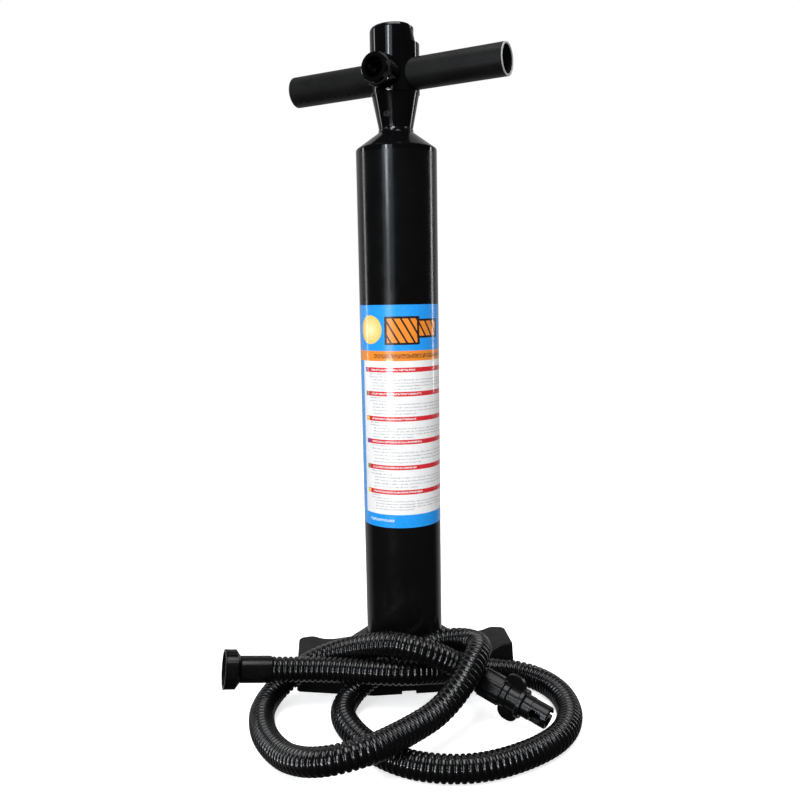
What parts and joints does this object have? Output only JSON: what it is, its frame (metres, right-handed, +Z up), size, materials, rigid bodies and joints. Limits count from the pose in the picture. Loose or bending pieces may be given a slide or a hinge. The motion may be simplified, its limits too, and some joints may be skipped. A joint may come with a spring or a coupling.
{
  "type": "double action hand pump",
  "caption": "Upright double action air pump with winged foot base, T-handle, hollow rod, pressure gauge and a loose corrugated hose with nut and bayonet valve adapter.",
  "frame": {"origin": "on the pump's axis at floor level, under the middle of the base", "axes": "+Z up along the barrel, +X along the base's length, the hose lies on the -Y side"},
  "size_m": [0.3262, 0.2886, 0.623],
  "materials": {
    "matte_black": "fine moulded grain",
    "satin_black": "smooth, half gloss",
    "gloss_black": "polished gloss",
    "label_print": "printed film in blue, orange, white and red",
    "hose_black": "flexible corrugated plastic, soft sheen",
    "white_plastic": "natural acetal",
    "seal_rubber": "soft black rubber",
    "rod_aluminium": "drawn and anodised",
    "screw_steel": "zinc plated",
    "dial_white": "printed dial",
    "needle_red": "red enamel",
    "lens_clear": "clear lens"
  },
  "bodies": {
    "root": {"base": "matte_black", "base_screws": "screw_steel", "barrel": "satin_black", "label": "label_print", "bottom_plug": "white_plastic", "plug_o_ring": "seal_rubber", "lower_inlet_flap": "seal_rubber", "lower_flap_screw": "screw_steel", "top_cap": "gloss_black", "rod_seal": "seal_rubber", "rod_bush": "white_plastic", "inlet_plate": "white_plastic", "upper_inlet_flap": "seal_rubber", "flap_retainer": "screw_steel", "cap_screws": "screw_steel", "bump_washer": "seal_rubber", "hose": "hose_black", "hose_cuff": "satin_black", "nut_gasket": "seal_rubber", "adapter_cuff": "satin_black"},
    "piston": {"piston_lower": "white_plastic", "lower_outlet_flap": "seal_rubber", "piston_upper": "white_plastic", "upper_outlet_flap": "seal_rubber", "piston_seal": "seal_rubber"},
    "handle": {"piston_rod": "rod_aluminium", "rod_foot": "rod_aluminium", "foot_pin": "screw_steel", "handle_hub": "gloss_black", "hub_screw": "screw_steel", "port_o_ring": "seal_rubber", "handle_arm_left": "matte_black", "handle_arm_right": "matte_black", "gauge_case": "white_plastic", "gauge_dial": "dial_white", "gauge_lens": "lens_clear", "gauge_bezel": "gloss_black"},
    "needle": {"gauge_needle": "needle_red"},
    "nut": {"hose_nut": "gloss_black"},
    "adapter": {"adapter_body": "satin_black", "adapter_o_ring": "seal_rubber"}
  },
  "joints": [
    {"name": "pump_stroke", "type": "slide", "parent": "root", "child": "piston", "axis": [0, 0, 1], "range_m": [0, 0.444]},
    {"name": "handle_turn", "type": "hinge", "parent": "piston", "child": "handle", "pos_m": [0, 0, 0.036], "axis": [0, 0, 1], "continuous": true},
    {"name": "needle_turn", "type": "hinge", "parent": "handle", "child": "needle", "pos_m": [0, 0, 0.602], "axis": [0, 0, -1], "range_deg": [0, 270]},
    {"name": "nut_turn", "type": "hinge", "parent": "root", "child": "nut", "pos_m": [-0.16493, -0.07549, 0.05167], "axis": [-0.9704, -0.1941, 0.1436], "continuous": true},
    {"name": "adapter_turn", "type": "hinge", "parent": "root", "child": "adapter", "pos_m": [0.07651, -0.10921, 0.03194], "axis": [0.7507, -0.6006, -0.2753], "continuous": true}
  ]
}
